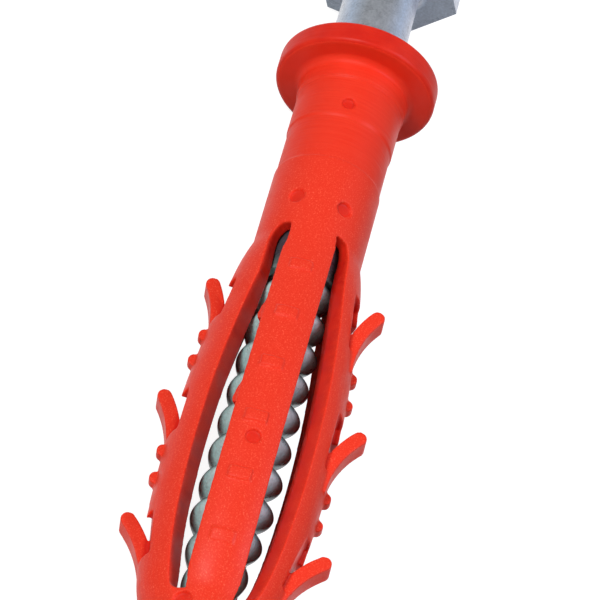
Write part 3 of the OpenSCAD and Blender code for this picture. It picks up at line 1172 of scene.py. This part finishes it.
@dataclass(frozen=True)
class NylonFinish:
    """Orange-red moulded nylon: a soft gloss over a fine grain with paler specks, with painted shade, a
    darker red, on its cut faces and in its recesses, and a share of that red on the collar's rim.
    """

    # Painted shade: the dark red of the cut faces and recesses, also laid in part on the collar's rim
    painted_shade_red: tuple[float, float, float] = (0.55, 0.002, 0.001)
    deep: tuple[float, float, float] = (0.85, 0.034, 0.012)
    middle: tuple[float, float, float] = (0.88, 0.044, 0.017)
    pale: tuple[float, float, float] = (0.98, 0.120, 0.060)
    gloss: tuple[float, float] = (0.38, 0.52)
    neck_from: float = 0.0095
    neck_to: float = 0.0135
    ring_scale: tuple[float, float, float] = (4200.0, 260.0, 260.0)
    ring_height: tuple[float, float] = (0.0, 2.4)
    grain_scale: float = 7600.0
    cloud_scale: float = 420.0
    grain_stops: tuple[float, float, float] = (0.3, 0.56, 0.74)
    ring_stops: tuple[float, float] = (0.3, 0.7)
    # Where the clouds blend the painted shade's red into the deep grain red
    painted_shade_stops: tuple[float, float] = (0.2, 0.9)
    specular: float = 0.15
    bleed: float = 0.1
    bleed_radius: tuple[float, float, float] = (1.0, 0.2, 0.1)
    bleed_scale: float = 0.0006
    bump: float = 0.25
    bump_height: float = 0.00003

    def material(self) -> bpy.types.Material:
        """Build the material."""
        material, shader = new_material("nylon_red")
        shader.inputs["Specular IOR Level"].default_value = self.specular
        shader.inputs["Subsurface Weight"].default_value = self.bleed
        shader.inputs["Subsurface Radius"].default_value = self.bleed_radius
        shader.inputs["Subsurface Scale"].default_value = self.bleed_scale
        nodes, links = material.node_tree.nodes, material.node_tree.links
        marks = speckle(material, self.grain_scale, self.cloud_scale)
        shades = list(zip(self.grain_stops, (self.deep, self.middle, self.pale)))
        colours = ramp(material, marks.outputs["Grain"], shades)
        where, stretch = nodes.new("ShaderNodeTexCoord"), nodes.new("ShaderNodeMapping")
        rings = nodes.new("ShaderNodeTexNoise")
        stretch.inputs["Scale"].default_value = self.ring_scale
        rings.inputs["Scale"].default_value = 1.0
        # The attribute node reads the share of painted shade on each vertex
        smooth, split = nodes.new("ShaderNodeAttribute"), nodes.new("ShaderNodeSeparateXYZ")
        smooth.attribute_name = "painted_shade_share"
        links.new(where.outputs["Object"], stretch.inputs["Vector"])
        links.new(where.outputs["Object"], split.inputs["Vector"])
        links.new(stretch.outputs["Vector"], rings.inputs["Vector"])
        past_neck = spread(material, split.outputs["X"], (0.0, 1.0), (self.neck_from, self.neck_to))
        shades = list(zip(self.ring_stops, (self.deep, self.middle)))
        neck = ramp(material, rings.outputs["Fac"], shades)
        # Painted shade: dark red for cut faces, recesses and the collar's rim, varied a little by the clouds
        shades = list(zip(self.painted_shade_stops, (self.painted_shade_red, self.deep)))
        painted_shade_red = ramp(material, marks.outputs["Cloud"], shades)
        colour = blended(material, "MIX", past_neck, neck.outputs["Color"], colours.outputs["Color"])
        # Blend the painted shade in by its share on each vertex
        colour = blended(material, "MIX", smooth.outputs["Fac"], colour, painted_shade_red.outputs["Color"])
        links.new(colour, shader.inputs["Base Color"])
        links.new(spread(material, marks.outputs["Cloud"], self.gloss), shader.inputs["Roughness"])
        lines = spread(material, rings.outputs["Fac"], self.ring_height)
        height = blended(material, "MIX", past_neck, lines, marks.outputs["Grain"])
        bumped(material, shader, height, self.bump, self.bump_height)
        return material


@dataclass(frozen=True)
class ZincFinish:
    """Dull zinc plating on steel: a drawn shank whose edges a painted sheen makes pale, and a thread with a
    painted highlight where it faces the camera, painted shade at its edges and a painted shadow where it
    starts inside the slots.
    """

    # Painted sheen: the shank runs from dark grey where it faces the camera to pale blue at its edges
    shank: tuple[tuple[float, tuple[float, float, float]], ...] = (
        (0.0, (0.22, 0.23, 0.23)),
        (0.25, (0.25, 0.27, 0.29)),
        (0.42, (0.36, 0.44, 0.55)),
        (0.75, (0.66, 0.70, 0.76)),
    )
    # Painted highlight and shade: the thread is pale teal where it faces the camera and nearly black at its
    # edges
    thread: tuple[tuple[float, tuple[float, float, float]], ...] = (
        (0.15, (0.66, 0.98, 0.97)),
        (0.42, (0.54, 0.92, 0.90)),
        (0.7, (0.25, 0.46, 0.46)),
        (0.92, (0.05, 0.09, 0.09)),
    )
    thread_from: float = 0.0215
    thread_to: float = 0.0225
    # Painted shadow: the thread's start inside the slots, where the sleeve shades it, is darkened to a
    # reddish grey
    slot_shadow_from: float = 0.0165
    slot_shadow_to: float = 0.0245
    slot_shadow: tuple[tuple[float, tuple[float, float, float]], ...] = (
        (0.0, (1.0, 1.0, 1.0)),
        (0.3, (0.24, 0.18, 0.18)),
        (0.78, (0.24, 0.22, 0.22)),
        (0.95, (1.0, 1.0, 1.0)),
    )
    shade: tuple[float, float] = (0.86, 1.08)
    glint: tuple[float, float] = (0.84, 1.16)
    gloss: tuple[float, float] = (0.24, 0.4)
    metallic: float = 0.3
    grain_scale: float = 4200.0
    cloud_scale: float = 700.0
    bump: float = 0.2
    bump_height: float = 0.00004

    def material(self) -> bpy.types.Material:
        """Build the material."""
        material, shader = new_material("zinc_plate")
        shader.inputs["Metallic"].default_value = self.metallic
        marks = speckle(material, self.grain_scale, self.cloud_scale)
        nodes, links = material.node_tree.nodes, material.node_tree.links
        facing = nodes.new("ShaderNodeLayerWeight")
        # Painted sheen on the shank, set by how far each face turns from the camera
        shank = ramp(material, facing.outputs["Facing"], list(self.shank))
        # Painted highlight and shade on the thread, set by how far each face turns from the camera
        thread = ramp(material, facing.outputs["Facing"], list(self.thread))
        where, split = nodes.new("ShaderNodeTexCoord"), nodes.new("ShaderNodeSeparateXYZ")
        links.new(where.outputs["Object"], split.inputs["Vector"])
        onto_thread = spread(material, split.outputs["X"], (0.0, 1.0), (self.thread_from, self.thread_to))
        onto_slot_shadow = spread(material, split.outputs["X"], (0.0, 1.0), (self.slot_shadow_from, self.slot_shadow_to))
        # Painted shadow at the thread's start inside the slots
        slot_shadow = ramp(material, onto_slot_shadow, list(self.slot_shadow))
        clouds = spread(material, marks.outputs["Cloud"], self.shade)
        glints = spread(material, marks.outputs["Grain"], self.glint)
        colour = blended(material, "MIX", onto_thread, shank.outputs["Color"], thread.outputs["Color"])
        colour = blended(material, "MULTIPLY", None, colour, slot_shadow.outputs["Color"])
        colour = blended(material, "MULTIPLY", None, colour, clouds)
        colour = blended(material, "MULTIPLY", None, colour, glints)
        links.new(colour, shader.inputs["Base Color"])
        links.new(spread(material, marks.outputs["Cloud"], self.gloss), shader.inputs["Roughness"])
        bumped(material, shader, marks.outputs["Grain"], self.bump, self.bump_height)
        return material


# The studio


@dataclass(frozen=True)
class SoftLight:
    """A soft square light, placed by how far back, up and right of the plug it stands in the picture."""

    name: str
    way: tuple[float, float, float]
    power: float
    colour: tuple[float, float, float] = (1.0, 1.0, 1.0)
    shows_in_gloss: bool = True
    distance: float = 0.9
    size: float = 0.3

    def build(self, target: Vector, axes: tuple[Vector, Vector, Vector]) -> None:
        """Build the light and turn it towards a point.

        Args:
            target: The point.
            axes: The directions back to the camera, up and right in the picture.
        """
        back, up, right = axes
        mix = self.way[0] * back + self.way[1] * up + self.way[2] * right
        position = target + self.distance * mix
        lamp = bpy.data.lights.new(self.name, "AREA")
        lamp.size = self.size
        lamp.energy = self.power
        lamp.color = self.colour
        holder = bpy.data.objects.new(self.name, lamp)
        holder.location = position
        holder.rotation_euler = (target - position).to_track_quat("-Z", "Y").to_euler()
        holder.visible_glossy = self.shows_in_gloss
        bpy.context.scene.collection.objects.link(holder)


@dataclass
class Studio:
    """The camera, the lights, the world and the pale floor."""

    camera_at: Vector = field(default_factory=lambda: Vector((0.175350, -0.123303, 0.184188)))
    camera_turn: tuple[float, float, float] = (23.3127, -41.7117, 107.7812)
    lens: float = 180.0
    target: Vector = field(default_factory=lambda: Vector((0.025, 0.0, 0.0)))
    floor_at: float = -0.00762
    floor_size: float = 4.0
    floor_shade: float = 0.3
    floor_glow: float = 0.92
    floor_roughness: float = 0.9
    fill: float = 0.12
    axes: tuple[Vector, Vector, Vector] = field(
        default_factory=lambda: (
            Vector((0.563, -0.461, 0.686)),
            Vector((-0.794, -0.531, 0.295)),
            Vector((-0.228, 0.711, 0.665)),
        )
    )
    lights: tuple[SoftLight, ...] = (
        SoftLight("key", (0.84, 0.49, -0.25), 5.6),
        SoftLight("side", (0.5, 0.25, 0.83), 3.5, (0.88, 0.88, 1.1)),
        SoftLight("foot", (0.6, -0.75, -0.28), 3.2, shows_in_gloss=False),
    )

    @staticmethod
    def seen(tree: bpy.types.NodeTree) -> bpy.types.NodeSocket:
        """Make a value that is 1 for rays that see the background.

        Args:
            tree: The node tree of a material or the world.

        Returns:
            The value.
        """
        paths = tree.nodes.new("ShaderNodeLightPath")
        total = paths.outputs["Is Camera Ray"]
        for name in ("Is Glossy Ray", "Is Transmission Ray"):
            more = tree.nodes.new("ShaderNodeMath")
            more.operation = "MAXIMUM"
            tree.links.new(total, more.inputs[0])
            tree.links.new(paths.outputs[name], more.inputs[1])
            total = more.outputs[0]
        return total

    def build_camera(self) -> None:
        """Build the camera at the photograph's viewing angle."""
        lens = bpy.data.cameras.new("camera")
        lens.lens = self.lens
        lens.clip_start = 0.01
        camera = bpy.data.objects.new("camera", lens)
        camera.location = self.camera_at
        camera.rotation_euler = Euler([math.radians(angle) for angle in self.camera_turn])
        bpy.context.scene.collection.objects.link(camera)
        bpy.context.scene.camera = camera

    def build_world(self) -> None:
        """Build a world that is white to look at and lights softly."""
        world = bpy.data.worlds.new("studio")
        bpy.context.scene.world = world
        world.use_nodes = True
        tree = world.node_tree
        blend = tree.nodes.new("ShaderNodeMapRange")
        blend.inputs["To Min"].default_value = self.fill
        tree.links.new(self.seen(tree), blend.inputs["Value"])
        tree.links.new(blend.outputs["Result"], tree.nodes["Background"].inputs["Strength"])
        tree.nodes["Background"].inputs["Color"].default_value = (1, 1, 1, 1)

    def build_floor(self) -> None:
        """Build the pale floor, which keeps the plug's shadow."""
        shape = bmesh.new()
        place = Matrix.Translation((self.target.x, self.target.y, self.floor_at))
        bmesh.ops.create_grid(shape, x_segments=1, y_segments=1, size=self.floor_size / 2, matrix=place)
        floor = joined("floor", [shape])
        material, shader = new_material("pale_floor")
        tree = material.node_tree
        shader.inputs["Base Color"].default_value = (self.floor_shade, self.floor_shade, self.floor_shade, 1)
        shader.inputs["Roughness"].default_value = self.floor_roughness
        shader.inputs["Specular IOR Level"].default_value = 0.0
        shader.inputs["Emission Color"].default_value = (1, 1, 1, 1)
        glow = tree.nodes.new("ShaderNodeMath")
        glow.operation = "MULTIPLY"
        glow.inputs[1].default_value = self.floor_glow
        tree.links.new(self.seen(tree), glow.inputs[0])
        tree.links.new(glow.outputs[0], shader.inputs["Emission Strength"])
        floor.data.materials.append(material)

    def build(self) -> None:
        """Build the whole studio."""
        self.build_camera()
        self.build_world()
        self.build_floor()
        for light in self.lights:
            light.build(self.target, self.axes)
        bpy.context.scene.view_settings.view_transform = "Standard"


def main() -> None:
    """Build the studio and every piece, and note the sizes."""
    logging.basicConfig(level=logging.INFO)
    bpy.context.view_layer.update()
    Studio().build()
    plug = NylonPlug()
    moulding = plug.build()
    plug.dress(moulding, NylonFinish())
    LOG.info("%s: %d faces", moulding.name, len(moulding.data.polygons))
    screw = Screw()
    shaft = screw.build()
    screw.dress(shaft, ZincFinish())
    LOG.info("%s: %d faces", shaft.name, len(shaft.data.polygons))


if __name__ == "__main__":
    main()
